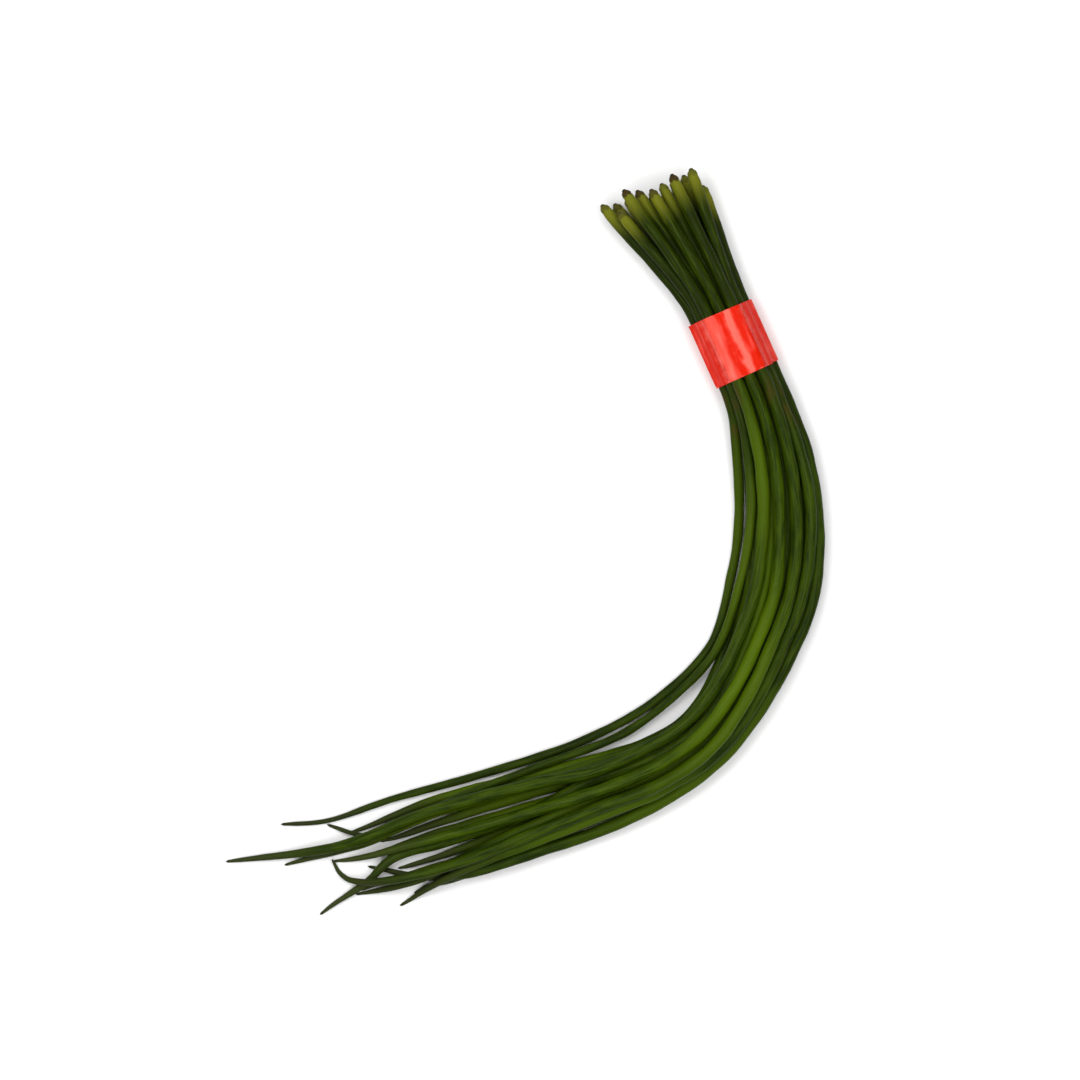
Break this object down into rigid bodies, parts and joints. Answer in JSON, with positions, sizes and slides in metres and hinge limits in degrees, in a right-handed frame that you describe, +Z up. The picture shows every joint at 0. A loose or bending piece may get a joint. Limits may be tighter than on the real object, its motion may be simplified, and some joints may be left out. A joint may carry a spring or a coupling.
{
  "type": "yardlong bean bunch",
  "caption": "Bunch of long thin green bean pods, held near the stems by a wide red tape band and laid flat in a sweeping C that ends in loose, crossing tips.",
  "frame": {"origin": "middle of the bunch's bounding box, on the surface that it lies on", "axes": "+Y along the bunch's long way, towards the stem ends; +X towards the outer side of the C; +Z up"},
  "size_m": [0.337, 0.4192, 0.0298],
  "materials": {
    "pod": "satin, waxy green skin",
    "band": "glossy red tape"
  },
  "bodies": {
    "root": {"band": "band", "bean_01": "pod", "bean_02": "pod", "bean_03": "pod", "bean_04": "pod", "bean_05": "pod", "bean_06": "pod", "bean_07": "pod", "bean_08": "pod", "bean_09": "pod", "bean_10": "pod", "bean_11": "pod", "bean_12": "pod", "bean_13": "pod", "bean_14": "pod", "bean_15": "pod", "bean_16": "pod"}
  },
  "joints": []
}
